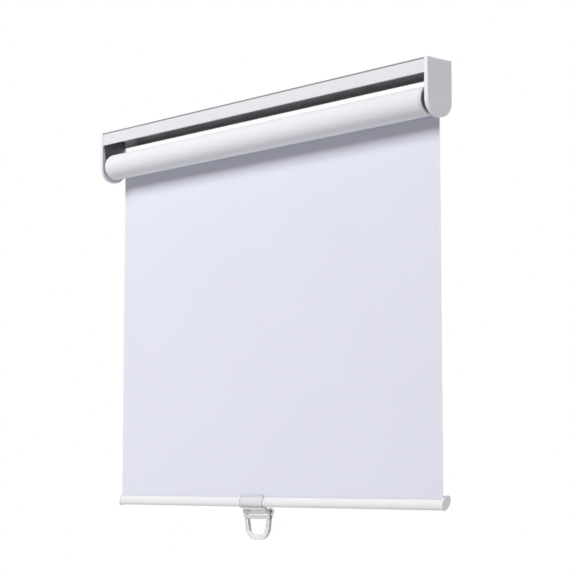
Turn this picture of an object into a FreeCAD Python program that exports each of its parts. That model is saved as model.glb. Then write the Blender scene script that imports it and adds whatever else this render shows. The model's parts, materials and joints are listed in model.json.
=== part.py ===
import FreeCAD, Part
import math
import os

os.makedirs("parts", exist_ok=True)

# Cordless roller shade, 610 mm wide, drawn a quarter of the way down.
# Units are millimetres. The origin is the centre of the headrail's top face,
# which screws up against a ceiling or lintel. +X is the right end as the room
# sees it, +Y points away from the room, towards the window, and +Z is up.

V = FreeCAD.Vector

# Headrail and end caps
shade_width = 610.0
head_depth = 40.0
head_height = 66.7
cap_thickness = 5.5
cap_wall = 2.2
cap_rim = 1.8
cap_edge_round = 1.2
cap_peg_radius = 1.5
cap_peg_top = 9.0
cap_peg_low = 3.2
channel_inset = 0.4
channel_wall = 1.8
channel_web = 2.0
fascia_height = 17.1
rear_leg_height = 16.5
fascia_step_depth = 0.9
fascia_step_height = 2.2
port_wall = 1.8
port_bore_radius = 1.1
mount_hole_radius = 2.25
mount_hole_spacing = 400.0

# Brackets and what they hold
bracket_thickness = 2.0
bracket_shoulder = 14.0
bracket_foot_radius = 13.0
screw_radius = 1.2
screw_length = 12.0
screw_head_radius = 2.3
screw_head_depth = 1.3
screw_edge = 0.5
bush_radius = 5.0
bush_flange_radius = 7.0
bush_flange = 1.0
socket_radius = 8.0
socket_length = 7.8
socket_peg_radius = 1.5
socket_peg_offset = 5.8
shaft_radius = 4.0
shaft_key_flat = 2.5
shaft_hub_flat = 3.2
shaft_clip_radius = 5.5
shaft_clip_groove = 0.6
shaft_clip_width = 0.8

# Roller
roll_radius = 17.3
roll_rise = 1.0
tube_radius = 12.5
tube_wall = 1.1
groove_width = 3.4
groove_depth = 2.1
groove_wall = 0.9
spline_thickness = 1.5
roll_left_gap = 3.0
roll_right_gap = 11.5
left_flange = 1.0
right_flange = 2.3
right_flange_radius = 14.8
flange_radius = 17.0
right_flange_gap = 0.2
plug_length = 30.0
plug_bearing = 8.3
brake_cavity_radius = 8.6
brake_cover = 1.8
brake_hub_radius = 6.2
brake_hub_flange = 1.5
brake_side_gap = 0.5
wrap_wire = 1.2
wrap_turns = 6
wrap_tang = 2.4
anchor_length = 12.0
anchor_radius = 8.4
anchor_gap = 4.0
drive_plug_length = 16.0
drive_plug_end = 2.0
spring_wire = 1.4
spring_mean_radius = 7.3
spring_turns = 24
spring_length = 120.0
spring_tang = 4.0
idle_plug_length = 26.0
idle_pin_radius = 3.0
idle_pin_tip = 2.9
idle_bearing = 5.5
idle_collar_radius = 5.0
idle_collar = 2.0
idle_tail_radius = 2.0
idle_tail = 9.0
idle_chamber = 20.0
idle_wire = 0.8
idle_turns = 8

# Cloth
cloth_thickness = 0.4
layer_gap = 0.45
cloth_drop = 448.8
last_turn_angle = 348.0

# Bottom rail, as an oval that leans back at its top
rail_half_height = 9.2
rail_half_depth = 5.4
rail_lean = 37.0
rail_wall = 1.0
rail_behind_cloth = 3.2
rail_slot = 1.2
rail_slot_floor = 0.8
cloth_foot = 0.2
hem_rod_radius = 1.4
hem_rod_gap = 0.2
hem_rod_end_gap = 1.0
rail_cap_flange = 2.0
rail_cap_lip = 0.6
rail_cap_plug = 10.0
rail_cap_round = 0.6

# Pull clip and ring
clip_centre_x = -29.7
clip_width = 42.0
clip_wall = 1.5
clip_fit = 0.15
clip_lip_top = 8.3
clip_lip_low = 4.1
clip_back_top = -1.0
clip_corner = 2.5
clip_web = 2.4
barrel_behind_centre = 5.4
barrel_drop = 13.5
barrel_radius = 3.4
barrel_bore_radius = 2.08
ring_pin_radius = 2.0
ring_pin_length = 6.0
ring_ear = 2.8
ring_ear_radius = 4.4
ring_ear_gap = 0.3
ring_thickness = 4.4
ring_height = 35.0
ring_bar_top = 4.2
ring_band = 7.0
ring_bar = 5.2
ring_foot = 6.6
ring_taper = 1.6
ring_corner = 18.0
ring_round = 1.3

# Clearances
running_gap = 0.06
fit_gap = 0.05
seat_gap = 0.1
bracket_gap = 0.2
soft_gap = 0.3

# How far an edge may lie from an end plane and still be rounded
edge_match = 0.01

# Arcs that follow one turn of a coil
arcs_per_turn = 3

# Places that follow from the sizes
half_width = shade_width / 2
half_depth = head_depth / 2
foot_centre_z = half_depth - head_height
axis_z = foot_centre_z + roll_rise
cap_inner_x = half_width - cap_thickness
pocket_x = half_width - cap_wall
plate_outer_x = cap_inner_x + bracket_thickness
channel_half_depth = half_depth - channel_inset
plate_inset = cap_rim + bracket_gap
port_y = half_depth - plate_inset - screw_edge - screw_head_radius
port_z = -plate_inset - screw_edge - screw_head_radius
cloth_left = -(cap_inner_x - roll_left_gap)
cloth_right = cap_inner_x - roll_right_gap
cloth_y = roll_radius - cloth_thickness / 2
layer_step = cloth_thickness + layer_gap
core_radius = roll_radius - layer_step - cloth_thickness - soft_gap - fit_gap
tube_bore = tube_radius - tube_wall
key_radius = tube_radius - groove_depth - groove_wall
key_half_width = groove_width / 2 + groove_wall
socket_face_x = cap_inner_x - socket_length
right_flange_x = cloth_right + right_flange_gap
rail_y = cloth_y + rail_behind_cloth
rail_z = axis_z - cloth_drop
barrel_y = rail_y + barrel_behind_centre
barrel_z = rail_z - barrel_drop
lean = math.radians(rail_lean)


def block(x0, x1, y0, y1, z0, z1):
    """A box between two corners."""
    return Part.makeBox(x1 - x0, y1 - y0, z1 - z0, V(x0, y0, z0))


def rod(x0, x1, radius, y=0.0, z=axis_z):
    """A round bar along X."""
    return Part.makeCylinder(radius, x1 - x0, V(x0, y, z), V(1, 0, 0))


def pipe(x0, x1, outer, inner, y=0.0, z=axis_z):
    """A round tube along X."""
    return rod(x0, x1, outer, y, z).cut(rod(x0, x1, inner, y, z))


def flatted_rod(x0, x1, radius, flat):
    """A round bar on the roller's axis with a flat above and below."""
    slab = block(x0, x1, -radius, radius, axis_z - flat, axis_z + flat)
    return rod(x0, x1, radius).common(slab)


def extrude_x(edges, x0, x1):
    """A closed outline drawn at X = 0, pushed along X."""
    face = Part.Face(Part.Wire(edges))
    face.translate(V(x0, 0, 0))
    return face.extrude(V(x1 - x0, 0, 0))


def line(a, b):
    return Part.LineSegment(a, b).toShape()


def arc(a, middle, b):
    return Part.Arc(a, middle, b).toShape()


def cap_outline():
    """Flat top, straight sides and a half-round foot."""
    left_top = V(0, -half_depth, 0)
    right_top = V(0, half_depth, 0)
    left_low = V(0, -half_depth, foot_centre_z)
    right_low = V(0, half_depth, foot_centre_z)
    bottom = V(0, 0, -head_height)
    return [line(left_top, right_top), line(right_top, right_low),
            arc(right_low, bottom, left_low), line(left_low, left_top)]


def bracket_outline(grow):
    """Wide at the top and narrowing to a round foot about the roller's axis, made larger by grow."""
    side = half_depth - plate_inset + grow
    low_side = bracket_foot_radius + grow
    top = grow - plate_inset
    left_top = V(0, -side, top)
    right_top = V(0, side, top)
    left_shoulder = V(0, -side, -bracket_shoulder)
    right_shoulder = V(0, side, -bracket_shoulder)
    left_low = V(0, -low_side, axis_z)
    right_low = V(0, low_side, axis_z)
    bottom = V(0, 0, axis_z - low_side)
    return [line(left_top, right_top), line(right_top, right_shoulder), line(right_shoulder, right_low),
            arc(right_low, bottom, left_low), line(left_low, left_shoulder), line(left_shoulder, left_top)]


def oval_rod(x0, x1, grow):
    """The bottom rail's oval, made larger by grow, along X."""
    centre = V(0, rail_y, rail_z)
    long_axis = V(0, math.sin(lean), math.cos(lean))
    short_axis = V(0, math.cos(lean), -math.sin(lean))
    long_end = centre + long_axis * (rail_half_height + grow)
    short_end = centre + short_axis * (rail_half_depth + grow)
    return extrude_x([Part.Ellipse(long_end, short_end, centre).toShape()], x0, x1)


def helix(x0, x1, mean_radius, wire, turns, lead_in=0.0, lead_out=0.0):
    """A round wire wound about the roller's axis, with straight ends along X."""
    steps = 2 * arcs_per_turn * turns
    points = []
    for step in range(steps + 1):
        angle = math.pi * step / arcs_per_turn
        along = x0 + (x1 - x0) * step / steps
        points.append(V(along, mean_radius * math.cos(angle), axis_z + mean_radius * math.sin(angle)))
    edges = [arc(points[i], points[i + 1], points[i + 2]) for i in range(0, steps, 2)]
    path = Part.Wire(edges)
    start = points[0]
    tangent = edges[0].tangentAt(edges[0].FirstParameter)
    circle = Part.Wire([Part.Circle(start, tangent, wire / 2).toShape()])
    coil = path.makePipeShell([circle], True, True)
    if lead_in > 0:
        tail = rod(x0 - lead_in, x0 + wire / 2, wire / 2, start.y, start.z)
        coil = coil.fuse(tail)
    if lead_out > 0:
        finish = points[-1]
        tail = rod(x1 - wire / 2, x1 + lead_out, wire / 2, finish.y, finish.z)
        coil = coil.fuse(tail)
    return coil


def save(name, shape):
    """One sub-part as one STEP file."""
    if len(shape.Solids) == 1:
        shape = shape.Solids[0]
    shape.exportStep("parts/" + name + ".step")
    print(name, "solids", len(shape.Solids), "volume", round(shape.Volume, 1), "valid", shape.isValid())


# Headrail: an inverted channel with a fascia, a rear leg and four screw ports
def headrail():
    end = cap_inner_x
    deep = channel_half_depth
    rail = block(-end, end, -deep, deep, -channel_web, 0)
    rail = rail.fuse(block(-end, end, -deep, channel_wall - deep, -fascia_height, 0))
    rail = rail.fuse(block(-end, end, deep - channel_wall, deep, -rear_leg_height, 0))
    for side in (-1, 1):
        rail = rail.fuse(rod(-end, end, port_bore_radius + port_wall, side * port_y, port_z))
    rail = rail.common(block(-end, end, -deep, deep, -head_height, 0))
    rail = rail.removeSplitter()
    step_y = fascia_step_depth - deep
    rail = rail.cut(block(-end, end, -deep, step_y, -fascia_step_height, 0))
    for side in (-1, 1):
        rail = rail.cut(rod(-end, end, port_bore_radius, side * port_y, port_z))
        hole_x = side * mount_hole_spacing / 2
        rail = rail.cut(Part.makeCylinder(mount_hole_radius, 3 * channel_web, V(hole_x, 0, -2 * channel_web)))
    return rail


def cap_pegs():
    """Where each end cap's two pegs press into its bracket."""
    return [(0, -cap_peg_top), (0, axis_z - bracket_foot_radius + cap_peg_low)]


# End caps: covers with a pocket that presses over the bracket
def end_cap(side):
    body = extrude_x(cap_outline(), cap_inner_x, half_width)
    outer_edges = [e for e in body.Edges if e.BoundBox.XMin > half_width - edge_match]
    body = body.makeFillet(cap_edge_round, outer_edges)
    body = body.cut(extrude_x(bracket_outline(bracket_gap), cap_inner_x, pocket_x))
    for y, z in cap_pegs():
        body = body.fuse(rod(cap_inner_x + seat_gap, pocket_x, cap_peg_radius - fit_gap, y, z))
    if side < 0:
        body = body.mirror(V(0, 0, 0), V(1, 0, 0))
    return body


def screw_places():
    return [(-port_y, port_z), (port_y, port_z)]


def bracket_plate():
    """The right-hand bracket's plate before its centre hole is cut."""
    plate = extrude_x(bracket_outline(0), cap_inner_x, plate_outer_x)
    for y, z in cap_pegs():
        plate = plate.cut(rod(cap_inner_x, plate_outer_x, cap_peg_radius, y, z))
    for y, z in screw_places():
        plate = plate.cut(rod(cap_inner_x, plate_outer_x, screw_radius + seat_gap, y, z))
        plate = plate.cut(screw_head(y, z, seat_gap))
    return plate


def screw_head(y, z, grow):
    """The countersunk head of a bracket screw, flush with the plate's outer face."""
    depth = screw_head_depth + grow
    base = V(plate_outer_x - depth, y, z)
    return Part.makeCone(screw_radius, screw_head_radius + grow, depth, base, V(1, 0, 0))


def bracket_left():
    plate = bracket_plate()
    plate = plate.cut(rod(cap_inner_x, plate_outer_x, bush_radius + fit_gap))
    return plate.mirror(V(0, 0, 0), V(1, 0, 0))


def bracket_right():
    plate = bracket_plate()
    keyhole = flatted_rod(cap_inner_x, plate_outer_x, shaft_radius + seat_gap, shaft_key_flat + seat_gap)
    plate = plate.cut(keyhole)
    for side in (-1, 1):
        peg_z = axis_z + side * socket_peg_offset
        plate = plate.cut(rod(cap_inner_x, plate_outer_x, socket_peg_radius + fit_gap, 0, peg_z))
    return plate


def bracket_screws():
    screws = []
    for y, z in screw_places():
        screw = rod(plate_outer_x - screw_length, plate_outer_x, port_bore_radius - fit_gap, y, z)
        screw = screw.fuse(screw_head(y, z, 0)).removeSplitter()
        screws.append(screw)
        screws.append(screw.mirror(V(0, 0, 0), V(1, 0, 0)))
    return Part.makeCompound(screws)


# Left bracket's bush, which the idle pin turns in
def pin_bearing():
    flange_x = cap_inner_x - bush_flange
    bush = rod(cap_inner_x, plate_outer_x, bush_radius)
    bush = bush.fuse(rod(flange_x, cap_inner_x, bush_flange_radius)).removeSplitter()
    bush = bush.cut(rod(flange_x, plate_outer_x, idle_pin_radius + running_gap))
    return bush.mirror(V(0, 0, 0), V(1, 0, 0))


# Right bracket's socket, which keeps the spring shaft from turning
def shaft_socket():
    socket = rod(socket_face_x, cap_inner_x, socket_radius)
    for side in (-1, 1):
        peg_z = axis_z + side * socket_peg_offset
        socket = socket.fuse(rod(cap_inner_x, plate_outer_x, socket_peg_radius, 0, peg_z))
    keyway = flatted_rod(socket_face_x, cap_inner_x, shaft_radius + fit_gap, shaft_key_flat + fit_gap)
    return socket.cut(keyway)


def brake_cavity():
    """From and to X of the hollow in the right end plug that holds the brake."""
    return right_flange_x - plug_length, right_flange_x + right_flange - plug_bearing


def shaft_x():
    """The spring shaft's inner and outer ends."""
    inner = anchor_x()[0] - spring_length - drive_plug_length - drive_plug_end
    return inner, plate_outer_x - seat_gap


def anchor_x():
    """From and to X of the spring's fixed anchor."""
    outer = brake_cavity()[0] - anchor_gap
    return outer - anchor_length, outer


def drive_plug_x():
    """From and to X of the plug that joins the spring to the tube."""
    inner = shaft_x()[0] + drive_plug_end
    return inner, inner + drive_plug_length


# Spring shaft: fixed, with a keyed outer end and flats for the hub and anchor
def spring_shaft():
    inner, outer = shaft_x()
    hub_inner = anchor_x()[0]
    hub_outer = brake_cavity()[1] - seat_gap
    key_x = socket_face_x - seat_gap
    shaft = rod(inner, hub_inner, shaft_radius)
    shaft = shaft.fuse(flatted_rod(hub_inner, hub_outer, shaft_radius, shaft_hub_flat))
    shaft = shaft.fuse(rod(hub_outer, key_x, shaft_radius))
    shaft = shaft.fuse(flatted_rod(key_x, outer, shaft_radius, shaft_key_flat))
    start = clip_groove_x()
    groove = pipe(start, start + shaft_clip_width, 2 * shaft_radius, shaft_radius - shaft_clip_groove)
    return shaft.cut(groove)


def clip_groove_x():
    """Where the shaft clip's groove starts, just inside the drive plug."""
    return drive_plug_x()[0] - seat_gap - shaft_clip_width


def shaft_clip():
    start = clip_groove_x() + fit_gap
    inner = shaft_radius - shaft_clip_groove + fit_gap
    clip = pipe(start, start + shaft_clip_width - 2 * fit_gap, shaft_clip_radius, inner)
    top = axis_z + 2 * shaft_clip_radius
    mouth = block(start, start + shaft_clip_width, -inner / 2, inner / 2, axis_z, top)
    return clip.cut(mouth)


# Brake: a fixed hub, a spring wrapped round it, and a cover in the plug
def brake_hub():
    inner = brake_cavity()[0] + brake_cover + seat_gap
    outer = brake_cavity()[1] - brake_side_gap
    flange = rod(inner, inner + brake_hub_flange, brake_cavity_radius - brake_side_gap)
    hub = rod(inner, outer, brake_hub_radius).fuse(flange).removeSplitter()
    return hub.cut(flatted_rod(inner, outer, shaft_radius + fit_gap, shaft_hub_flat + fit_gap))


def wrap_radius():
    return brake_hub_radius + soft_gap / 2 + wrap_wire / 2


def wrap_x():
    """From and to X of the wrap spring's wire centre."""
    flange_end = brake_cavity()[0] + brake_cover + seat_gap + brake_hub_flange
    inner = flange_end + soft_gap + wrap_wire / 2
    outer = brake_cavity()[1] - soft_gap - wrap_wire / 2
    return inner, outer


def wrap_spring():
    inner, outer = wrap_x()
    coil = helix(inner, outer, wrap_radius(), wrap_wire, wrap_turns)
    tang = Part.makeCylinder(wrap_wire / 2, wrap_tang, V(outer, wrap_radius(), axis_z), V(0, 1, 0))
    return coil.fuse(tang)


def brake_cover_disc():
    inner = brake_cavity()[0]
    return pipe(inner, inner + brake_cover, brake_cavity_radius - fit_gap, shaft_radius + soft_gap)


def spring_anchor():
    inner, outer = anchor_x()
    anchor = rod(inner, outer, anchor_radius)
    anchor = anchor.cut(flatted_rod(inner, outer, shaft_radius + fit_gap, shaft_hub_flat + fit_gap))
    hole = rod(inner, inner + spring_tang + seat_gap, spring_wire / 2 + seat_gap, spring_mean_radius)
    return anchor.cut(hole)


def drive_plug():
    inner, outer = drive_plug_x()
    plug = pipe(inner, outer, tube_bore - fit_gap, shaft_radius + running_gap)
    plug = plug.cut(key_slot(inner, outer))
    hole_x = outer - spring_tang - seat_gap
    return plug.cut(rod(hole_x, outer, spring_wire / 2 + seat_gap, spring_mean_radius))


def torsion_spring():
    """Counterbalance spring from the turning drive plug to the fixed anchor."""
    start = drive_plug_x()[1] + spring_wire
    end = anchor_x()[0] - spring_wire
    lead = spring_wire + spring_tang - seat_gap
    return helix(start, end, spring_mean_radius, spring_wire, spring_turns, lead, lead)


def key_slot(x0, x1):
    """The slot in a plug that clears the tube's cloth groove, so they turn together."""
    half = key_half_width + seat_gap
    return block(x0, x1, -half, half, axis_z + key_radius - seat_gap, axis_z + tube_radius)


# Roller tube with the groove that grips the cloth
def roller_tube():
    tube = pipe(cloth_left, cloth_right, tube_radius, tube_bore)
    floor = axis_z + key_radius
    key_top = axis_z + tube_bore + tube_wall / 2
    key = block(cloth_left, cloth_right, -key_half_width, key_half_width, floor, key_top)
    tube = tube.fuse(key).removeSplitter()
    half = groove_width / 2
    groove = block(cloth_left, cloth_right, -half, half, floor + groove_wall, axis_z + 2 * tube_radius)
    return tube.cut(groove)


def cloth_spline():
    half = groove_width / 2 - seat_gap
    floor = axis_z + key_radius + groove_wall
    return block(cloth_left, cloth_right, -half, half, floor, floor + spline_thickness)


def end_plug_right():
    inner, bearing = brake_cavity()
    face = right_flange_x + right_flange
    plug = rod(inner, right_flange_x, tube_bore - fit_gap).cut(key_slot(inner, cloth_right))
    plug = plug.fuse(rod(right_flange_x, face, right_flange_radius)).removeSplitter()
    plug = plug.cut(rod(inner, bearing, brake_cavity_radius))
    plug = plug.cut(rod(bearing, face, shaft_radius + running_gap))
    tang_x = wrap_x()[1]
    reach = wrap_radius() + wrap_tang + seat_gap
    half = wrap_wire / 2 + seat_gap
    return plug.cut(block(inner, tang_x + half, 0, reach, axis_z - half, axis_z + half))


# Light ring round the right plug's flange, against the end of the cloth
def end_ring_right():
    return pipe(right_flange_x, right_flange_x + right_flange, flange_radius, right_flange_radius + fit_gap)


def end_plug_left():
    face = cloth_left - left_flange
    inner = cloth_left + idle_plug_length
    chamber = face + idle_bearing
    plug = rod(cloth_left, inner, tube_bore - fit_gap).cut(key_slot(cloth_left, inner))
    plug = plug.fuse(rod(face, cloth_left, flange_radius)).removeSplitter()
    plug = plug.cut(rod(face, chamber, idle_pin_radius + running_gap))
    return plug.cut(rod(chamber, chamber + idle_chamber, idle_collar_radius + running_gap))


def idle_collar_x():
    """The idle pin's collar, seated against the plug's shoulder."""
    return cloth_left - left_flange + idle_bearing + seat_gap


# Idle pin: springs in so that the roller can be lifted out
def idle_pin():
    tip = -cap_inner_x - idle_pin_tip
    collar = idle_collar_x()
    tail = collar + idle_collar
    pin = rod(tip, collar, idle_pin_radius)
    pin = pin.fuse(rod(collar, tail, idle_collar_radius))
    pin = pin.fuse(rod(tail, tail + idle_tail, idle_tail_radius))
    return pin.removeSplitter()


def idle_spring():
    start = idle_collar_x() + idle_collar + idle_wire / 2 + seat_gap
    end = cloth_left - left_flange + idle_bearing + idle_chamber - idle_wire / 2 - seat_gap
    mean_radius = (idle_tail_radius + idle_collar_radius) / 2
    return helix(start, end, mean_radius, idle_wire, idle_turns)


# Cloth still wound on the tube, under its outermost turn
def fabric_roll():
    return pipe(cloth_left, cloth_right, core_radius, tube_radius + fit_gap)


def turn_point(radius, centre_y, degrees):
    angle = math.radians(degrees)
    return V(0, centre_y + radius * math.cos(angle), axis_z + radius * math.sin(angle))


# The outermost turn of cloth and the panel that hangs from the back of the roll
def shade_cloth():
    top_outer = roll_radius
    top_inner = roll_radius - cloth_thickness
    low_outer = roll_radius - layer_step / 2
    low_inner = low_outer - cloth_thickness
    shift = -layer_step / 2
    foot = rail_z + cloth_foot
    middle = (180 + last_turn_angle) / 2
    outer = [line(V(0, top_outer, foot), turn_point(top_outer, 0, 0)),
             arc(turn_point(top_outer, 0, 0), turn_point(top_outer, 0, 90), turn_point(top_outer, 0, 180)),
             arc(turn_point(low_outer, shift, 180), turn_point(low_outer, shift, middle),
                 turn_point(low_outer, shift, last_turn_angle))]
    inner = [arc(turn_point(low_inner, shift, last_turn_angle), turn_point(low_inner, shift, middle),
                 turn_point(low_inner, shift, 180)),
             arc(turn_point(top_inner, 0, 180), turn_point(top_inner, 0, 90), turn_point(top_inner, 0, 0)),
             line(turn_point(top_inner, 0, 0), V(0, top_inner, foot))]
    last = line(turn_point(low_outer, shift, last_turn_angle), turn_point(low_inner, shift, last_turn_angle))
    end = line(V(0, top_inner, foot), V(0, top_outer, foot))
    return extrude_x(outer + [last] + inner + [end], cloth_left, cloth_right)


def cloth_self_gap():
    """The least gap from the last turn to the panel it lies under."""
    low_outer = roll_radius - layer_step / 2
    panel = roll_radius - cloth_thickness
    ends = [turn_point(low_outer, -layer_step / 2, d) for d in range(270, int(last_turn_angle) + 1, 2)]
    return min(panel - p.y for p in ends)


# Bottom rail with the slot that takes the cloth
def bottom_rail():
    tube = oval_rod(cloth_left, cloth_right, 0).cut(oval_rod(cloth_left, cloth_right, -rail_wall))
    slot = block(cloth_left, cloth_right, cloth_y - rail_slot / 2, cloth_y + rail_slot / 2,
                 rail_z + rail_slot_floor, rail_z + 2 * rail_half_height)
    return tube.cut(slot)


def hem_rod():
    reach = rail_cap_plug + hem_rod_end_gap
    y = cloth_y + cloth_thickness / 2 + hem_rod_gap + hem_rod_radius
    return rod(cloth_left + reach, cloth_right - reach, hem_rod_radius, y, rail_z + rail_slot_floor)


def rail_cap(side):
    """A bottom rail end cap. Side is -1 for the left end and 1 for the right."""
    tube_end = cloth_right if side > 0 else cloth_left
    face_x = tube_end + side * rail_cap_flange
    cap = oval_rod(min(tube_end, face_x), max(tube_end, face_x), rail_cap_lip)
    outer_edges = []
    for edge in cap.Edges:
        box = edge.BoundBox
        if abs(box.XMin - face_x) < edge_match and box.XLength < edge_match:
            outer_edges.append(edge)
    cap = cap.makeFillet(rail_cap_round, outer_edges)
    plug_end = tube_end - side * rail_cap_plug
    x0, x1 = min(plug_end, tube_end), max(plug_end, tube_end)
    plug = oval_rod(x0, x1, -rail_wall - fit_gap)
    reach = 2 * rail_half_height
    plug = plug.cut(block(x0, x1, rail_y - reach, cloth_y + rail_slot, rail_z - reach, rail_z + reach))
    return cap.fuse(plug)


def clip_web_slab(x0, x1):
    """The web that slopes back from the rail's lowest edge down to the barrel."""
    top = V(0, rail_y - rail_half_height * math.sin(lean), rail_z - rail_half_height * math.cos(lean))
    foot = V(0, barrel_y, barrel_z)
    along = (foot - top).normalize()
    across = V(0, along.z, -along.y) * (clip_web / 2)
    corners = [top - across, foot - across, foot + across, top + across]
    return extrude_x([line(a, b) for a, b in zip(corners, corners[1:] + corners[:1])], x0, x1)


# Clear clip that snaps round the rail, with the barrel that the ring hangs from
def pull_clip():
    x0 = clip_centre_x - clip_width / 2
    x1 = clip_centre_x + clip_width / 2
    reach = 3 * rail_half_height
    shell = oval_rod(x0, x1, clip_fit + clip_wall)
    shell = shell.cut(block(x0, x1, rail_y - reach, rail_y, rail_z + clip_lip_low, rail_z + reach))
    shell = shell.cut(block(x0, x1, rail_y, rail_y + reach, rail_z + clip_back_top, rail_z + reach))
    lip_back = cloth_y - cloth_thickness / 2 - soft_gap
    lip = block(x0, x1, lip_back - clip_wall, lip_back, rail_z + rail_slot_floor, rail_z + clip_lip_top)
    along_y = [e for e in lip.Edges if e.BoundBox.XLength + e.BoundBox.ZLength < edge_match]
    corners = [e for e in along_y if e.BoundBox.ZMin > rail_z + clip_lip_low]
    lip = lip.makeFillet(clip_corner, corners)
    shell = shell.fuse(lip)
    shell = shell.fuse(rod(x0, x1, barrel_radius, barrel_y, barrel_z))
    shell = shell.fuse(clip_web_slab(x0, x1)).removeSplitter()
    shell = shell.cut(oval_rod(x0, x1, clip_fit))
    return shell.cut(rod(x0, x1, barrel_bore_radius, barrel_y, barrel_z))


def ring_outline(half_top, half_foot, top, foot, corner):
    """A stirrup that narrows downwards and has two round lower corners."""
    y = barrel_y - ring_thickness / 2
    cx = clip_centre_x
    inset = corner * (1 - math.sqrt(0.5))
    left_low = V(cx - half_foot, y, foot + corner)
    left_mid = V(cx - half_foot + inset, y, foot + inset)
    left_end = V(cx - half_foot + corner, y, foot)
    right_end = V(cx + half_foot - corner, y, foot)
    right_mid = V(cx + half_foot - inset, y, foot + inset)
    right_low = V(cx + half_foot, y, foot + corner)
    left_top = V(cx - half_top, y, top)
    right_top = V(cx + half_top, y, top)
    edges = [line(left_top, left_low), arc(left_low, left_mid, left_end), line(left_end, right_end),
             arc(right_end, right_mid, right_low), line(right_low, right_top), line(right_top, left_top)]
    return Part.Face(Part.Wire(edges)).extrude(V(0, ring_thickness, 0))


# Clear pull ring, hinged on two stub pins in the clip's barrel
def pull_ring():
    half = clip_width / 2 + ring_ear_gap + ring_ear
    top = barrel_z - ring_bar_top
    foot = barrel_z - ring_height
    outer = ring_outline(half, half - ring_taper, top, foot, ring_corner)
    opening = ring_outline(half - ring_band, half - ring_taper - ring_band, top - ring_bar,
                           foot + ring_foot, ring_corner - ring_band)
    loop = outer.cut(opening)
    rims = [e for e in loop.Edges if e.BoundBox.YLength < edge_match]
    loop = loop.makeFillet(ring_round, rims)
    for side in (-1, 1):
        inner = clip_centre_x + side * (clip_width / 2 + ring_ear_gap)
        outer_x = clip_centre_x + side * half
        x0, x1 = min(inner, outer_x), max(inner, outer_x)
        ear = rod(x0, x1, ring_ear_radius, barrel_y, barrel_z)
        neck = block(x0, x1, barrel_y - ring_thickness / 2, barrel_y + ring_thickness / 2,
                     top - ring_bar / 2, barrel_z)
        pin_end = inner - side * ring_pin_length
        pin = rod(min(pin_end, inner), max(pin_end, inner), ring_pin_radius, barrel_y, barrel_z)
        loop = loop.fuse(ear.fuse(neck).fuse(pin))
    return loop


save("headrail", headrail())
save("end_cap_left", end_cap(-1))
save("end_cap_right", end_cap(1))
save("bracket_left", bracket_left())
save("bracket_right", bracket_right())
save("bracket_screws", bracket_screws())
save("pin_bearing", pin_bearing())
save("shaft_socket", shaft_socket())
save("spring_shaft", spring_shaft())
save("shaft_clip", shaft_clip())
save("brake_hub", brake_hub())
save("wrap_spring", wrap_spring())
save("brake_cover", brake_cover_disc())
save("spring_anchor", spring_anchor())
save("drive_plug", drive_plug())
save("torsion_spring", torsion_spring())
save("roller_tube", roller_tube())
save("cloth_spline", cloth_spline())
save("end_plug_right", end_plug_right())
save("end_ring_right", end_ring_right())
save("end_plug_left", end_plug_left())
save("idle_pin", idle_pin())
save("idle_spring", idle_spring())
save("fabric_roll", fabric_roll())
save("shade_cloth", shade_cloth())
save("bottom_rail", bottom_rail())
save("hem_rod", hem_rod())
save("rail_cap_left", rail_cap(-1))
save("rail_cap_right", rail_cap(1))
save("pull_clip", pull_clip())
save("pull_ring", pull_ring())
print("least gap from the last turn of cloth to the panel", round(cloth_self_gap(), 2))
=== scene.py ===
import json
import math

import bpy
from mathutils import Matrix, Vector

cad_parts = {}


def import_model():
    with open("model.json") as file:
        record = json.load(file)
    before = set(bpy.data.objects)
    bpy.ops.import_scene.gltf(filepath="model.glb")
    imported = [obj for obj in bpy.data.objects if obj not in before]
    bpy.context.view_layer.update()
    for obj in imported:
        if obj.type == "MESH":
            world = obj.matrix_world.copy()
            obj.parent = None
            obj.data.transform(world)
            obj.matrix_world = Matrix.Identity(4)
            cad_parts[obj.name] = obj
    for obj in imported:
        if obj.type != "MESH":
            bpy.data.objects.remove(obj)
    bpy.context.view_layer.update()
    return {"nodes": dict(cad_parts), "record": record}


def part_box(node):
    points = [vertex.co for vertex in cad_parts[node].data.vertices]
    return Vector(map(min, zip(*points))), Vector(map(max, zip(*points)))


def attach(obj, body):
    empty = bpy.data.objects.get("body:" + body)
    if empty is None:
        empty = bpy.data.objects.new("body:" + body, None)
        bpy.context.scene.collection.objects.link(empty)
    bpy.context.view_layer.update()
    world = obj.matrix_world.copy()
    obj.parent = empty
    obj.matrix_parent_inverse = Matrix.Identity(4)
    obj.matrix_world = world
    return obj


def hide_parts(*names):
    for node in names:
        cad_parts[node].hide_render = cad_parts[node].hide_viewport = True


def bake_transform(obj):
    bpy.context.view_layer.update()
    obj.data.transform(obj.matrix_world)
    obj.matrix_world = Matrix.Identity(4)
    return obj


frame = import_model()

# Cordless roller shade, seen from the right and from just under its headrail.
# Lengths are metres, in the frame of the CAD model.

# Photograph's view
picture_width = 576
camera_place = (1.6216, -1.4311, -0.4653)
camera_yaw = 47.625
camera_pitch = 6.096
camera_focus = 1765.6
sensor_width = 36.0

# Cloth. The last turn ends at this many degrees round the roll.
cloth_thickness = 0.0004
turn_gap = 0.00045
last_turn = 348
turn_steps = 96
cloth_columns = 24
thread_pitch = 0.00042
sealed_edge = 0.0032
cloth_uv = "cloth_map"

# Turns on the tube. The cloth's thickness and the spiral's start are shares of its pitch.
wound_turns = 17
wound_steps = 44
wound_share = 0.84
wound_start = 0.6

# The panel hangs straight from this far under the headrail's top to this far above its own foot
panel_start = 0.064

# Springs
wire_sides = 10
coil_steps = 32
bend_steps = 6
idle_wire = 0.0008
idle_turns = 8
torsion_wire = 0.0014
torsion_turns = 24
torsion_tang = 0.0053

# Meshes are smooth where faces meet at less than this, in degrees
sharp_angle = 50

# Rays that each bevelled edge of a material takes
bevel_samples = 4

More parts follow.
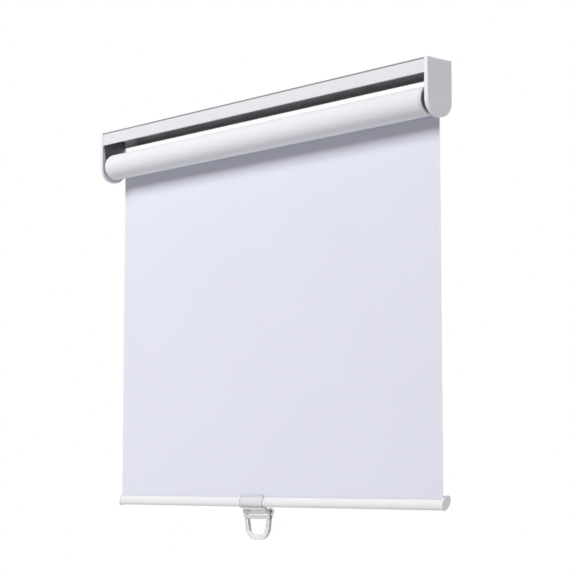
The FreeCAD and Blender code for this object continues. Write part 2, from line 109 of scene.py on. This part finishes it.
# Where a finish or painted light and shade changes, each as the places where the change starts and ends.
# The headrail's inside, painted dark as shade, lies between its walls and under its web. It is painted lighter
# near its top and has a painted highlight at its left end, and its top step is painted grey as shade.
between_walls = (0.01795, 0.0179)
under_web = (-0.0018, -0.0019)
painted_light_top = (-0.0125, -0.006)
glint_end = (-0.268, -0.292)
glint_height = (-0.0165, -0.009)
step_height = (-0.00235, -0.0022)
step_depth = (-0.0186, -0.01868)

# The caps of the bottom rail lie below this
rail_height = (-0.2, -0.3)

# The clip's thin shell, the ring below its ears, the ring's bar, and the radius of the dark spot at each pin's
# end
thin_shell = (-0.5030, -0.5020)
ring_height = (-0.5125, -0.5135)
bar_height = (-0.5190, -0.5175)
pin_spot_radius = (0.0013, 0.0010)
pin_y = 0.0257
pin_z = -0.508

# Floor and light
floor_z = -3.0
floor_size = 6.0
floor_white = 0.8
world_light = 0.20
lamp_aim = (0, 0, -0.25)

# Each lamp's direction from the shade, its distance, size and power
lamps = {
    "key": ((-0.28, -0.79, 0.62), 5.0, 2.0, 241.5),
    "side": ((1.0, 0.005, 0.07), 4.0, 0.12, 43.0),
    "low": ((-0.3, -0.2, -1.0), 1.6, 1.6, 5.2),
    "back": ((-0.1, 0.85, 0.45), 3.0, 1.6, 45.0),
}


class Nodes:
    """A material's nodes, with short calls that add and join them."""

    def __init__(self, name):
        self.material = bpy.data.materials.new(name)
        self.material.use_nodes = True
        self.tree = self.material.node_tree
        self.tree.nodes.clear()
        self.shader = self.tree.nodes.new("ShaderNodeBsdfPrincipled")
        self.output = self.tree.nodes.new("ShaderNodeOutputMaterial")
        self.tree.links.new(self.shader.outputs[0], self.output.inputs["Surface"])
        self.place = self.tree.nodes.new("ShaderNodeTexCoord").outputs["Object"]

    def put(self, value, socket):
        """A link where the value is another node's output, and otherwise the value itself."""
        if isinstance(value, bpy.types.NodeSocket):
            self.tree.links.new(value, socket)
        elif hasattr(value, "__len__") and len(value) == 3 and socket.type == "RGBA":
            socket.default_value = (*value, 1.0)
        else:
            socket.default_value = value

    def node(self, kind, **values):
        """A new node with values for its named sockets, where _ stands for a space."""
        made = self.tree.nodes.new(kind)
        for name, value in values.items():
            self.put(value, made.inputs[name.replace("_", " ")])
        return made

    def math(self, operation, a, b=0.0, c=0.0):
        made = self.tree.nodes.new("ShaderNodeMath")
        made.operation = operation
        for value, socket in zip((a, b, c), made.inputs):
            self.put(value, socket)
        return made.outputs[0]

    def times(self, vector, factors):
        made = self.tree.nodes.new("ShaderNodeVectorMath")
        made.operation = "MULTIPLY"
        self.put(vector, made.inputs[0])
        self.put(factors, made.inputs[1])
        return made.outputs[0]

    def parts(self, vector):
        return self.node("ShaderNodeSeparateXYZ", Vector=vector).outputs

    def noise(self, vector, scale, detail=2.0):
        return self.node("ShaderNodeTexNoise", Vector=vector, Scale=scale, Detail=detail).outputs[0]

    def ramp(self, value, low, high, to_low=0.0, to_high=1.0):
        """A steady change from one value to another, held at both ends."""
        made = self.node("ShaderNodeMapRange", Value=value, From_Min=low, From_Max=high,
                         To_Min=to_low, To_Max=to_high)
        made.clamp = True
        return made.outputs[0]

    def mix(self, share, a, b):
        """A mix of two colours, whose sockets are numbers 6 and 7 of a Mix node, and 2 of its outputs."""
        made = self.tree.nodes.new("ShaderNodeMix")
        made.data_type = "RGBA"
        self.put(share, made.inputs[0])
        self.put(a, made.inputs[6])
        self.put(b, made.inputs[7])
        return made.outputs[2]

    def bump(self, height, depth, strength=1.0, edge=0.0):
        """Height in the range 0 to 1 as relief that is depth metres deep, with edges rounded by edge."""
        values = {"Height": height, "Distance": depth, "Strength": strength}
        if edge:
            round_edge = self.node("ShaderNodeBevel", Radius=edge)
            round_edge.samples = bevel_samples
            values["Normal"] = round_edge.outputs[0]
        self.put(self.node("ShaderNodeBump", **values).outputs[0], self.shader.inputs["Normal"])

    def finish(self, **values):
        """The material, with values for its shader's named sockets."""
        for name, value in values.items():
            self.put(value, self.shader.inputs[name.replace("_", " ")])
        return self.material


def powder_coat(nodes, colour, edge):
    """Satin powder coat: a fine orange peel, faint draw lines along X and slightly cloudy colour."""
    peel = nodes.noise(nodes.place, 900.0, 3.0)
    drawn = nodes.noise(nodes.times(nodes.place, (6.0, 900.0, 900.0)), 1.0, 2.0)
    cloudy = nodes.noise(nodes.place, 14.0, 3.0)
    shade = nodes.ramp(cloudy, 0.3, 0.7, 0.0, 1.0)
    tone = nodes.mix(shade, tuple(0.975 * c for c in colour), colour)
    height = nodes.math("ADD", nodes.math("MULTIPLY", peel, 0.6), nodes.math("MULTIPLY", drawn, 0.4))
    nodes.bump(height, 0.00004, 0.5, edge)
    rough = nodes.ramp(peel, 0.3, 0.7, 0.34, 0.44)
    return tone, rough


def white_channel():
    """White outside, with the step along the top painted grey as shade. The inside is painted dark grey as
    shade, lighter towards its top as painted light, with a painted highlight at its left end.
    """
    nodes = Nodes("white_channel")
    tone, rough = powder_coat(nodes, (0.75, 0.76, 0.797), 0.0003)
    x, y, z = nodes.parts(nodes.place)
    from_middle = nodes.math("ABSOLUTE", y)
    inside = nodes.math("MULTIPLY", nodes.ramp(from_middle, *between_walls), nodes.ramp(z, *under_web))
    painted_step_shade = nodes.math("MULTIPLY", nodes.ramp(z, *step_height), nodes.ramp(y, *step_depth))
    drawn = nodes.noise(nodes.times(nodes.place, (5.0, 700.0, 700.0)), 1.0, 4.0)
    smudge = nodes.noise(nodes.place, 30.0, 3.0)
    # Painted shade: the inside is painted dark grey, and lighter towards its top as painted light.
    inside_light_and_shade = nodes.mix(drawn, (0.14, 0.14, 0.145), (0.22, 0.22, 0.23))
    inside_painted_light = nodes.mix(drawn, (0.48, 0.48, 0.49), (0.66, 0.66, 0.68))
    inside_light_and_shade = nodes.mix(nodes.ramp(z, *painted_light_top), inside_light_and_shade, inside_painted_light)
    # Painted highlight: bright grey at the inside's left end.
    painted_glint = nodes.math("MULTIPLY", nodes.ramp(x, *glint_end), nodes.ramp(z, *glint_height, 0.4, 1.0))
    inside_light_and_shade = nodes.mix(painted_glint, inside_light_and_shade, nodes.mix(drawn, (0.80, 0.80, 0.82), (0.96, 0.96, 0.97)))
    inside_light_and_shade = nodes.mix(nodes.ramp(smudge, 0.45, 0.75, 0.0, 0.35), inside_light_and_shade, (0.09, 0.09, 0.095))
    tone = nodes.mix(inside, tone, inside_light_and_shade)
    # Painted shade: the step along the top is painted grey.
    tone = nodes.mix(painted_step_shade, tone, (0.27, 0.27, 0.28))
    return nodes.finish(Base_Color=tone, Roughness=rough, Specular_IOR_Level=0.4)


def white_rail():
    nodes = Nodes("white_rail")
    tone, rough = powder_coat(nodes, (0.80, 0.795, 0.81), 0.0003)
    return nodes.finish(Base_Color=tone, Roughness=rough, Specular_IOR_Level=0.45)


def moulding(nodes, colour, grain, depth, edge):
    """Moulded plastic: an even spark-eroded grain with painted shade in its hollows, which leaves its high spots
    lighter, and a faint flow mark.
    """
    fine = nodes.noise(nodes.place, grain, 4.0)
    flow = nodes.noise(nodes.times(nodes.place, (60.0, 25.0, 60.0)), 1.0, 2.0)
    tone = nodes.mix(nodes.ramp(flow, 0.35, 0.65), tuple(0.97 * c for c in colour), colour)
    # Painted shade in the grain's hollows: darker where the grain is low.
    tone = nodes.mix(nodes.ramp(fine, 0.2, 0.5, 0.25, 0.0), tone, tuple(0.86 * c for c in colour))
    nodes.bump(fine, depth, 0.5, edge)
    return tone, fine


def cap_plastic():
    """The head's caps are cool white, and the rail's caps a plainer and lighter white."""
    nodes = Nodes("cap_plastic")
    tone, fine = moulding(nodes, (0.85, 0.845, 0.895), 2200.0, 0.00005, 0.0005)
    on_rail = nodes.ramp(nodes.parts(nodes.place)[2], *rail_height)
    tone = nodes.mix(on_rail, tone, nodes.times(tone, (1.06, 1.055, 1.0)))
    rough = nodes.ramp(fine, 0.3, 0.7, 0.40, 0.54)
    return nodes.finish(Base_Color=tone, Roughness=rough, Specular_IOR_Level=0.4)


def dark_steel():
    """Phosphated steel: dull, with fine crystals and a few rubbed spots."""
    nodes = Nodes("dark_steel")
    crystal = nodes.noise(nodes.place, 1500.0, 3.0)
    rubbed = nodes.noise(nodes.place, 70.0, 3.0)
    tone = nodes.mix(nodes.ramp(crystal, 0.3, 0.7), (0.095, 0.105, 0.118), (0.135, 0.145, 0.16))
    tone = nodes.mix(nodes.ramp(rubbed, 0.62, 0.8, 0.0, 0.4), tone, (0.22, 0.225, 0.24))
    rough = nodes.ramp(crystal, 0.3, 0.7, 0.42, 0.58)
    nodes.bump(crystal, 0.00003, 0.5, 0.0002)
    return nodes.finish(Base_Color=tone, Roughness=rough, Metallic=0.3)


def dark_plastic():
    nodes = Nodes("dark_plastic")
    tone, fine = moulding(nodes, (0.19, 0.19, 0.20), 1600.0, 0.00006, 0.0003)
    rough = nodes.ramp(fine, 0.3, 0.7, 0.45, 0.62)
    return nodes.finish(Base_Color=tone, Roughness=rough)


def natural_nylon():
    nodes = Nodes("natural_nylon")
    tone, fine = moulding(nodes, (0.83, 0.83, 0.81), 1400.0, 0.00005, 0.0003)
    rough = nodes.ramp(fine, 0.3, 0.7, 0.38, 0.5)
    return nodes.finish(Base_Color=tone, Roughness=rough, Subsurface_Weight=0.15, Subsurface_Scale=0.002)


def metal(name, light, dark, lines, rough_low, rough_high):
    """Bare metal with draw or roll lines. Lines are how fast they vary along X, Y and Z."""
    nodes = Nodes(name)
    drawn = nodes.noise(nodes.times(nodes.place, lines), 1.0, 4.0)
    patches = nodes.noise(nodes.place, 45.0, 3.0)
    tone = nodes.mix(nodes.ramp(drawn, 0.3, 0.7), dark, light)
    tone = nodes.mix(nodes.ramp(patches, 0.5, 0.8, 0.0, 0.4), tone, dark)
    rough = nodes.ramp(drawn, 0.3, 0.7, rough_low, rough_high)
    nodes.bump(drawn, 0.00003, 0.5, 0.0002)
    return nodes.finish(Base_Color=tone, Roughness=rough, Metallic=1.0)


def zinc_steel():
    return metal("zinc_steel", (0.66, 0.67, 0.69), (0.52, 0.53, 0.55), (300.0, 900.0, 120.0), 0.28, 0.45)


def spring_steel():
    return metal("spring_steel", (0.46, 0.47, 0.49), (0.26, 0.26, 0.27), (1500.0, 1500.0, 1500.0), 0.25, 0.4)


def tube_alloy():
    return metal("tube_alloy", (0.80, 0.81, 0.82), (0.70, 0.71, 0.73), (5.0, 1100.0, 1100.0), 0.25, 0.4)


def shade_fabric():
    """Close plain weave, cool white on the room's side and plain white on the coated side, which the roll shows.

    The map holds X and the length along the cloth, which is below zero on the coated side.
    """
    nodes = Nodes("shade_fabric")
    mapped = nodes.tree.nodes.new("ShaderNodeUVMap")
    mapped.uv_map = cloth_uv
    across, along = nodes.parts(mapped.outputs[0])[:2]
    warp = nodes.math("MULTIPLY", across, 1.0 / thread_pitch)
    weft = nodes.math("MULTIPLY", along, 1.0 / thread_pitch)

    def crown(position):
        """0 between two threads and 1 on top of one."""
        middle = nodes.math("MULTIPLY_ADD", nodes.math("FRACT", position), 2.0, -1.0)
        return nodes.math("SUBTRACT", 1.0, nodes.math("MULTIPLY", middle, middle))

    warp_crown = crown(warp)
    weft_crown = crown(weft)
    cell = nodes.math("ADD", nodes.math("FLOOR", warp), nodes.math("FLOOR", weft))
    over = nodes.math("MODULO", nodes.math("ABSOLUTE", cell), 2.0)

    def top(thread, crossing):
        """The height of a thread where it passes over the one that crosses it."""
        swell = nodes.math("MULTIPLY_ADD", crossing, 0.5, 0.5)
        return nodes.math("MULTIPLY", nodes.math("SQRT", thread), swell)

    weave = nodes.node("ShaderNodeMix", Factor=over, A=top(warp_crown, weft_crown),
                       B=top(weft_crown, warp_crown)).outputs[0]
    thick = nodes.noise(nodes.times(mapped.outputs[0], (35.0, 1900.0, 1.0)), 1.0, 2.0)
    stretch = nodes.noise(nodes.times(mapped.outputs[0], (9.0, 5.0, 1.0)), 1.0, 3.0)
    height = nodes.math("ADD", weave, nodes.math("MULTIPLY", thick, 0.5))
    coated = nodes.math("LESS_THAN", along, 0.0)
    cool, plain = (0.762, 0.770, 0.870), (0.795, 0.803, 0.838)

    def shade(amount):
        return nodes.mix(coated, tuple(amount * c for c in cool), tuple(amount * c for c in plain))

    tone = nodes.mix(nodes.ramp(stretch, 0.3, 0.7), shade(0.985), shade(1.0))
    tone = nodes.mix(nodes.ramp(thick, 0.3, 0.8, 0.0, 0.3), tone, shade(0.965))
    # Painted shade in the hollows between threads: darker where the weave is low.
    tone = nodes.mix(nodes.ramp(weave, 0.0, 0.5, 0.5, 0.0), tone, shade(0.86))
    low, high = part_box("shade_cloth")
    from_left = nodes.math("SUBTRACT", across, low.x)
    from_right = nodes.math("SUBTRACT", high.x, across)
    to_edge = nodes.math("MINIMUM", from_left, from_right)
    sealed = nodes.ramp(to_edge, sealed_edge, 0.8 * sealed_edge)
    tone = nodes.mix(nodes.math("MULTIPLY", sealed, 0.7), tone, (0.77, 0.775, 0.80))
    rough = nodes.ramp(sealed, 0.0, 1.0, 0.82, 0.55)
    nodes.bump(nodes.math("MULTIPLY", height, nodes.ramp(sealed, 0.0, 1.0, 1.0, 0.35)), 0.00006, 0.35)
    return nodes.finish(Base_Color=tone, Roughness=rough, Specular_IOR_Level=0.25, Sheen_Weight=0.12,
                        Sheen_Roughness=0.6)


def clear_plastic():
    """Clear moulding. The thin clip hardly hides what is behind it, and the thick ring and barrel are smoky.

    Walls that face sideways are painted darker as shade, most on the ring below the barrel, and the ring's top
    bar under the barrel is painted darker as shade. The thin clip's outlines, where its faces turn sideways, up
    or down, are painted darker and more covering as shade. The end of each of the ring's pins has a dark spot.
    """
    nodes = Nodes("clear_plastic")
    normal = nodes.parts(nodes.tree.nodes.new("ShaderNodeNewGeometry").outputs["Normal"])
    y, z = nodes.parts(nodes.place)[1:]
    thin = nodes.ramp(z, *thin_shell)
    facing = nodes.ramp(nodes.math("ABSOLUTE", normal[0]), 0.6, 0.9)
    on_ring = nodes.ramp(z, *ring_height)
    # Painted shade: walls that face sideways are darkened, most on the ring.
    painted_wall_shade = nodes.math("MULTIPLY", facing, nodes.math("MULTIPLY_ADD", on_ring, 0.7, 0.3))
    behind, above = nodes.math("SUBTRACT", y, pin_y), nodes.math("SUBTRACT", z, pin_z)
    square = nodes.math("ADD", nodes.math("MULTIPLY", behind, behind), nodes.math("MULTIPLY", above, above))
    # A dark spot at the end of each pin.
    pin_spot = nodes.math("MULTIPLY", facing, nodes.ramp(nodes.math("SQRT", square), *pin_spot_radius))
    # Painted shade along the thin shell's outlines, where its faces turn sideways, up or down.
    painted_rim_shade = nodes.math("MAXIMUM", facing, nodes.ramp(nodes.math("ABSOLUTE", normal[2]), 0.75, 0.95, 0.0, 0.3))
    haze = nodes.noise(nodes.place, 160.0, 3.0)
    barrel_tone = nodes.mix(haze, (0.88, 0.885, 0.90), (0.94, 0.945, 0.96))
    ring_tone = nodes.mix(haze, (0.80, 0.805, 0.82), (0.88, 0.885, 0.90))
    # Painted shade: the ring's top bar under the barrel is darker.
    bar_painted_shade = nodes.mix(haze, (0.64, 0.645, 0.66), (0.70, 0.705, 0.72))
    ring_tone = nodes.mix(nodes.ramp(z, *bar_height), ring_tone, bar_painted_shade)
    thick_tone = nodes.mix(on_ring, barrel_tone, ring_tone)
    thick_tone = nodes.mix(nodes.math("MULTIPLY", painted_wall_shade, 0.8), thick_tone, (0.30, 0.30, 0.32))
    thick_tone = nodes.mix(pin_spot, thick_tone, (0.05, 0.05, 0.055))
    thin_tone = nodes.mix(painted_rim_shade, (0.84, 0.84, 0.87), (0.34, 0.34, 0.36))
    rough = nodes.ramp(haze, 0.3, 0.7, 0.05, 0.12)
    nodes.bump(haze, 0.0001, 0.4, 0.0003)
    cover = nodes.mix(thin, (1.0, 1.0, 1.0), nodes.mix(painted_rim_shade, (0.17, 0.17, 0.17), (0.55, 0.55, 0.55)))
    through = nodes.math("MULTIPLY", nodes.ramp(thin, 0.0, 1.0, 0.75, 0.0), nodes.math("SUBTRACT", 1.0, pin_spot))
    return nodes.finish(Base_Color=nodes.mix(thin, thick_tone, thin_tone), Roughness=rough, IOR=1.49,
                        Transmission_Weight=through, Alpha=nodes.parts(cover)[0])


def add_object(name, data):
    """A new object in the scene."""
    piece = bpy.data.objects.new(name, data)
    bpy.context.scene.collection.objects.link(piece)
    return piece


def smooth_object(name, mesh, finish):
    """A new object with one finish, smooth but for its sharp edges."""
    mesh.update()
    mesh.shade_smooth()
    mesh.set_sharp_from_angle(angle=math.radians(sharp_angle))
    mesh.materials.append(finish)
    return add_object(name, mesh)


def dress_nodes(finishes):
    """Each CAD node takes the finish of its material slot."""
    for row in frame["record"]["subparts"]:
        piece = frame["nodes"][row["node"]]
        for place in piece.material_slots:
            place.material = finishes[row["material_slot"]]


def cloth_mesh(name, line, thickness, x0, x1, finish):
    """A cloth of even thickness that follows a line of (y, z) points, closed on all sides.

    The coated side is on the right of the line. Each side is mapped by X and the length along the line.
    """
    lengths = [0.0]
    for a, b in zip(line, line[1:]):
        lengths.append(lengths[-1] + math.dist(a, b))
    coated, plain = [], []
    for i, (y, z) in enumerate(line):
        before, after = line[max(i - 1, 0)], line[min(i + 1, len(line) - 1)]
        along = Vector((after[0] - before[0], after[1] - before[1])).normalized()
        out = Vector((along.y, -along.x)) * thickness / 2
        coated.append((y + out.x, z + out.y))
        plain.append((y - out.x, z - out.y))
    ring = coated + plain[::-1]
    reach = lengths + lengths[::-1]
    rows, count = len(line), len(ring)
    xs = [x0 + (x1 - x0) * i / cloth_columns for i in range(cloth_columns + 1)]
    points = [(x, y, z) for x in xs for y, z in ring]
    faces, places = [], []

    def add(corners, on_coated):
        faces.append(corners)
        for corner in corners:
            s = reach[corner % count]
            places.append((xs[corner // count], -s - thickness if on_coated else s))

    for column in range(cloth_columns):
        a, b = column * count, (column + 1) * count
        for i in range(count):
            j = (i + 1) % count
            add((a + i, a + j, b + j, b + i), i < rows - 1)
    end = cloth_columns * count
    for i in range(rows - 1):
        j = count - 1 - i
        add((i, j, j - 1, i + 1), False)
        add((end + i, end + i + 1, end + j - 1, end + j), False)
    mesh = bpy.data.meshes.new(name)
    mesh.from_pydata(points, [], faces)
    layer = mesh.uv_layers.new(name=cloth_uv)
    layer.data.foreach_set("uv", [number for place in places for number in place])
    return smooth_object(name, mesh, finish), lengths[-1]


def hanging_cloth(finish):
    """The outermost turn on the roll and the panel that hangs from the roll's back to the bottom rail."""
    low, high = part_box("shade_cloth")
    outer = high.y - cloth_thickness / 2
    axis_z = high.z - high.y
    step = (cloth_thickness + turn_gap) / 2
    line = [(outer, low.z), (outer, -panel_start)]
    for i in range(turn_steps + 1):
        angle = math.radians(180 * i / turn_steps)
        line.append((outer * math.cos(angle), axis_z + outer * math.sin(angle)))
    for i in range(1, turn_steps + 1):
        angle = math.radians(180 + (last_turn - 180) * i / turn_steps)
        radius = outer - step
        line.append((radius * math.cos(angle) - step, axis_z + radius * math.sin(angle)))
    piece, length = cloth_mesh("shade_panel", line, cloth_thickness, low.x, high.x, finish)
    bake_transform(piece)
    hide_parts("shade_cloth")


def wound_cloth(finish):
    """The turns that are still on the tube, as one spiral from the tube out."""
    low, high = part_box("fabric_roll")
    tube_low, tube_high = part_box("roller_tube")
    axis_z = (low.z + high.z) / 2
    inner = (tube_high.z - tube_low.z) / 2
    outer = (high.z - low.z) / 2
    pitch = (outer - inner) / (wound_turns + 1)
    start = inner + pitch * wound_start
    line = []
    for i in range(wound_turns * wound_steps + 1):
        turn = i / wound_steps
        radius = start + pitch * turn
        angle = 2 * math.pi * turn
        line.append((radius * math.cos(angle), axis_z + radius * math.sin(angle)))
    piece, length = cloth_mesh("wound_cloth", line, wound_share * pitch, low.x, high.x, finish)
    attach(piece, "roller")
    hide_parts("fabric_roll")


def bent(a, corner, b):
    """Points on a smooth bend from a to b, which stays inside the corner."""
    shares = [i / bend_steps for i in range(1, bend_steps)]
    return [(1 - t) ** 2 * a + 2 * t * (1 - t) * corner + t * t * b for t in shares]


def wire_mesh(name, line, radius, finish):
    """A round wire along a line of points, closed at both ends."""
    points, faces = [], []
    normal = None
    for i, place in enumerate(line):
        along = (line[min(i + 1, len(line) - 1)] - line[max(i - 1, 0)]).normalized()
        if normal is None:
            normal = along.orthogonal()
        normal = (normal - along * normal.dot(along)).normalized()
        side = along.cross(normal)
        for k in range(wire_sides):
            angle = 2 * math.pi * k / wire_sides
            points.append(place + radius * (math.cos(angle) * normal + math.sin(angle) * side))
    for i in range(len(line) - 1):
        a, b = i * wire_sides, (i + 1) * wire_sides
        for k in range(wire_sides):
            j = (k + 1) % wire_sides
            faces.append((a + k, a + j, b + j, b + k))
    end = len(points) - wire_sides
    faces.append(tuple(range(wire_sides - 1, -1, -1)))
    faces.append(tuple(range(end, end + wire_sides)))
    mesh = bpy.data.meshes.new(name)
    mesh.from_pydata(points, [], faces)
    return smooth_object(name, mesh, finish)


def coil_spring(name, node, wire, turns, tang, finish):
    """A wire wound about the roller's axis from left to right, which winds up or shortens between two bodies.

    With a tang, each end bends round into a straight one along X, which goes into its body.
    """
    low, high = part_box(node)
    axis_z = (low.z + high.z) / 2
    radius = high.y - wire / 2
    lead = tang or wire / 2
    left, right = low.x + lead, high.x - lead
    steps = turns * coil_steps
    line = []
    for i in range(steps + 1):
        angle = 2 * math.pi * i / coil_steps
        x = left + (right - left) * i / steps
        line.append(Vector((x, radius * math.cos(angle), axis_z + radius * math.sin(angle))))
    if tang:
        out = Vector((1, 0, 0))
        reach = (line[1] - line[0]).length
        first = [line[0] - tang * out, line[0] - reach * out]
        last = [line[-1] + reach * out, line[-1] + tang * out]
        into = bent(first[1], line[0], line[1])
        away = bent(line[-2], line[-1], last[0])
        line = first + into + line[1:-1] + away + last
    piece = wire_mesh(name, line, wire / 2, finish)
    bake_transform(piece)
    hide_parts(node)


def floor():
    """A plain pale floor well below the shade at its full drop."""
    half = floor_size / 2
    mesh = bpy.data.meshes.new("floor")
    corners = [(-half, -half, floor_z), (half, -half, floor_z), (half, half, floor_z), (-half, half, floor_z)]
    mesh.from_pydata(corners, [], [(0, 1, 2, 3)])
    nodes = Nodes("floor")
    speckle = nodes.noise(nodes.place, 60.0, 3.0)
    tone = nodes.mix(speckle, (0.86, 0.86, 0.86), (0.90, 0.90, 0.90))
    mesh.materials.append(nodes.finish(Base_Color=tone, Roughness=0.7))
    rays = nodes.tree.nodes.new("ShaderNodeLightPath")
    seen = nodes.math("MULTIPLY", rays.outputs["Is Camera Ray"], floor_white)
    mix = nodes.tree.nodes.new("ShaderNodeMixShader")
    glow = nodes.node("ShaderNodeEmission", Strength=1.0)
    nodes.put(seen, mix.inputs[0])
    nodes.put(nodes.shader.outputs[0], mix.inputs[1])
    nodes.put(glow.outputs[0], mix.inputs[2])
    nodes.put(mix.outputs[0], nodes.output.inputs["Surface"])
    piece = add_object("floor", mesh)


def world():
    """White to the camera, to gloss and through clear plastic, and an even soft light otherwise."""
    made = bpy.data.worlds.new("world")
    bpy.context.scene.world = made
    made.use_nodes = True
    tree = made.node_tree
    tree.nodes.clear()
    rays = tree.nodes.new("ShaderNodeLightPath")
    seen = rays.outputs["Is Camera Ray"]
    for ray in ("Is Glossy Ray", "Is Transmission Ray"):
        either = tree.nodes.new("ShaderNodeMath")
        either.operation = "MAXIMUM"
        tree.links.new(seen, either.inputs[0])
        tree.links.new(rays.outputs[ray], either.inputs[1])
        seen = either.outputs[0]
    light = tree.nodes.new("ShaderNodeBackground")
    light.inputs["Strength"].default_value = world_light
    white = tree.nodes.new("ShaderNodeBackground")
    white.inputs["Strength"].default_value = 1.0
    for background in (light, white):
        background.inputs["Color"].default_value = (1.0, 1.0, 1.0, 1.0)
    mix = tree.nodes.new("ShaderNodeMixShader")
    tree.links.new(seen, mix.inputs[0])
    tree.links.new(light.outputs[0], mix.inputs[1])
    tree.links.new(white.outputs[0], mix.inputs[2])
    output = tree.nodes.new("ShaderNodeOutputWorld")
    tree.links.new(mix.outputs[0], output.inputs["Surface"])


def lamp(name, direction, distance, size, power):
    """A soft square lamp that shines at the middle of the shade."""
    data = bpy.data.lights.new(name, "AREA")
    data.size = size
    data.energy = power
    piece = add_object(name, data)
    towards = Vector(direction).normalized()
    piece.location = Vector(lamp_aim) + towards * distance
    piece.rotation_euler = towards.to_track_quat("Z", "Y").to_euler()
    piece.visible_camera = False


def camera():
    yaw, pitch = math.radians(camera_yaw), math.radians(camera_pitch)
    view = Vector((-math.sin(yaw) * math.cos(pitch), math.cos(yaw) * math.cos(pitch), math.sin(pitch)))
    data = bpy.data.cameras.new("camera")
    data.sensor_width = sensor_width
    data.lens = camera_focus / picture_width * sensor_width
    piece = add_object("camera", data)
    piece.location = camera_place
    piece.rotation_euler = view.to_track_quat("-Z", "Y").to_euler()
    bpy.context.scene.camera = piece


camera()
fabric = shade_fabric()
wound_cloth(fabric)
hanging_cloth(fabric)
wire_steel = spring_steel()
coil_spring("idle_coil", "idle_spring", idle_wire, idle_turns, 0.0, wire_steel)
coil_spring("torsion_coil", "torsion_spring", torsion_wire, torsion_turns, torsion_tang,
            wire_steel)
dress_nodes({
    "white_channel": white_channel(),
    "white_rail": white_rail(),
    "cap_plastic": cap_plastic(),
    "dark_steel": dark_steel(),
    "zinc_steel": zinc_steel(),
    "spring_steel": wire_steel,
    "tube_alloy": tube_alloy(),
    "natural_nylon": natural_nylon(),
    "dark_plastic": dark_plastic(),
    "shade_fabric": fabric,
    "clear_plastic": clear_plastic(),
})
floor()
world()
for name, (direction, distance, size, power) in lamps.items():
    lamp(name, direction, distance, size, power)
bpy.context.scene.view_settings.view_transform = "Standard"
